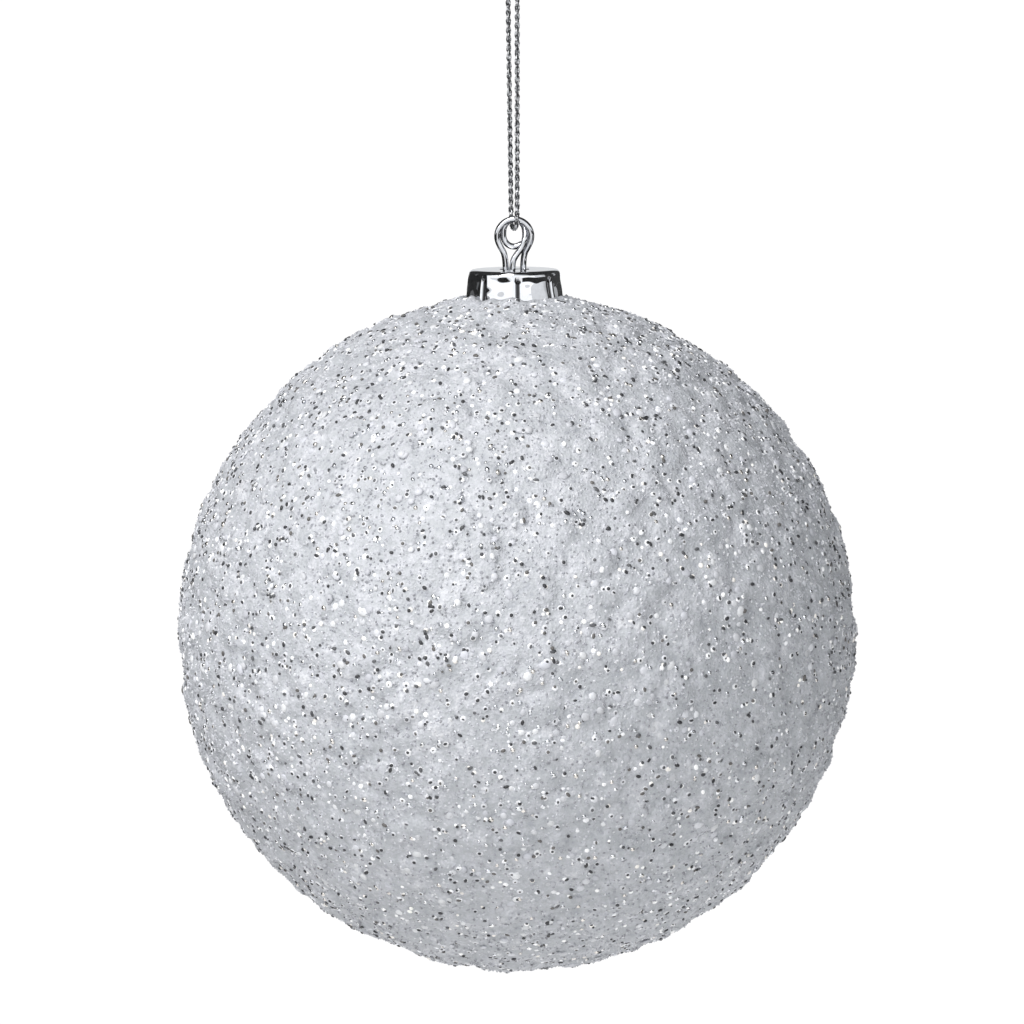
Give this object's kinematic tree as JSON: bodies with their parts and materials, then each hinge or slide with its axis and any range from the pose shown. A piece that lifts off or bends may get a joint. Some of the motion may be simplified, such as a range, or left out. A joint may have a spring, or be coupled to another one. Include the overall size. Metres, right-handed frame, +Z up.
{
  "type": "glass ball ornament",
  "caption": "Silvered glass ball with a beaded, frosted coat, a crimped metal cap, a sprung wire eye and a knotted cord loop to hang it by.",
  "frame": {"origin": "inside top of the cord loop, where the wire of a hook carries it, just under the knot", "axes": "+Z up along the ornament's own axis; +X to the right and -Y towards the viewer in front, across the plane of the wire eye"},
  "size_m": [0.1, 0.1, 0.162],
  "materials": {
    "glass": "clear blown glass",
    "silver_film": "mirror silvering on the inside of the glass",
    "bead_coat": "silver-white glass beads set in clear glue, frosted and sparkling",
    "cap_metal": "bright plated, pressed sheet",
    "wire": "bright plated spring wire",
    "cord": "twisted metallic silver thread"
  },
  "bodies": {
    "hook_knot": {"cord_knot": "cord", "cord_tails": "cord"},
    "cord": {"cord_loop": "cord"},
    "hanger": {"wire_eye": "wire", "eye_inner_wire": "wire"},
    "cap": {"cap": "cap_metal"},
    "ball": {"glass_ball": "glass", "silvering": "silver_film", "bead_coat": "bead_coat"},
    "leg_left": {"spring_leg_left": "wire"},
    "leg_right": {"spring_leg_right": "wire"}
  },
  "joints": [
    {"name": "cord_twist", "type": "hinge", "parent": "hook_knot", "child": "cord", "pos_m": [0, 0, 0], "axis": [0, 0, 1], "range_deg": [-180, 180], "stiffness_Nm_per_rad": 0.0001},
    {"name": "eye_swing", "type": "hinge", "parent": "cord", "child": "hanger", "pos_m": [0, 0, -0.0414], "axis": [1, 0, 0], "range_deg": [-75, 75]},
    {"name": "cap_play", "type": "slide", "parent": "hanger", "child": "cap", "axis": [0, 0, 1], "range_m": [0, 0.0013]},
    {"name": "neck_pull", "type": "slide", "parent": "cap", "child": "ball", "axis": [0, 0, -1], "range_m": [0, 0.028]},
    {"name": "leg_left_spring", "type": "hinge", "parent": "hanger", "child": "leg_left", "pos_m": [-0.00128, -0.00046, -0.04968], "axis": [0, -1, 0], "range_deg": [0, 25]},
    {"name": "leg_right_spring", "type": "hinge", "parent": "hanger", "child": "leg_right", "pos_m": [0.00128, 0.00046, -0.04968], "axis": [0, 1, 0], "range_deg": [0, 25]}
  ],
  "couplings": [
    {"joint": "leg_left_spring", "follows": "neck_pull", "rad_per_m": 15.359},
    {"joint": "leg_right_spring", "follows": "neck_pull", "rad_per_m": 15.359}
  ]
}
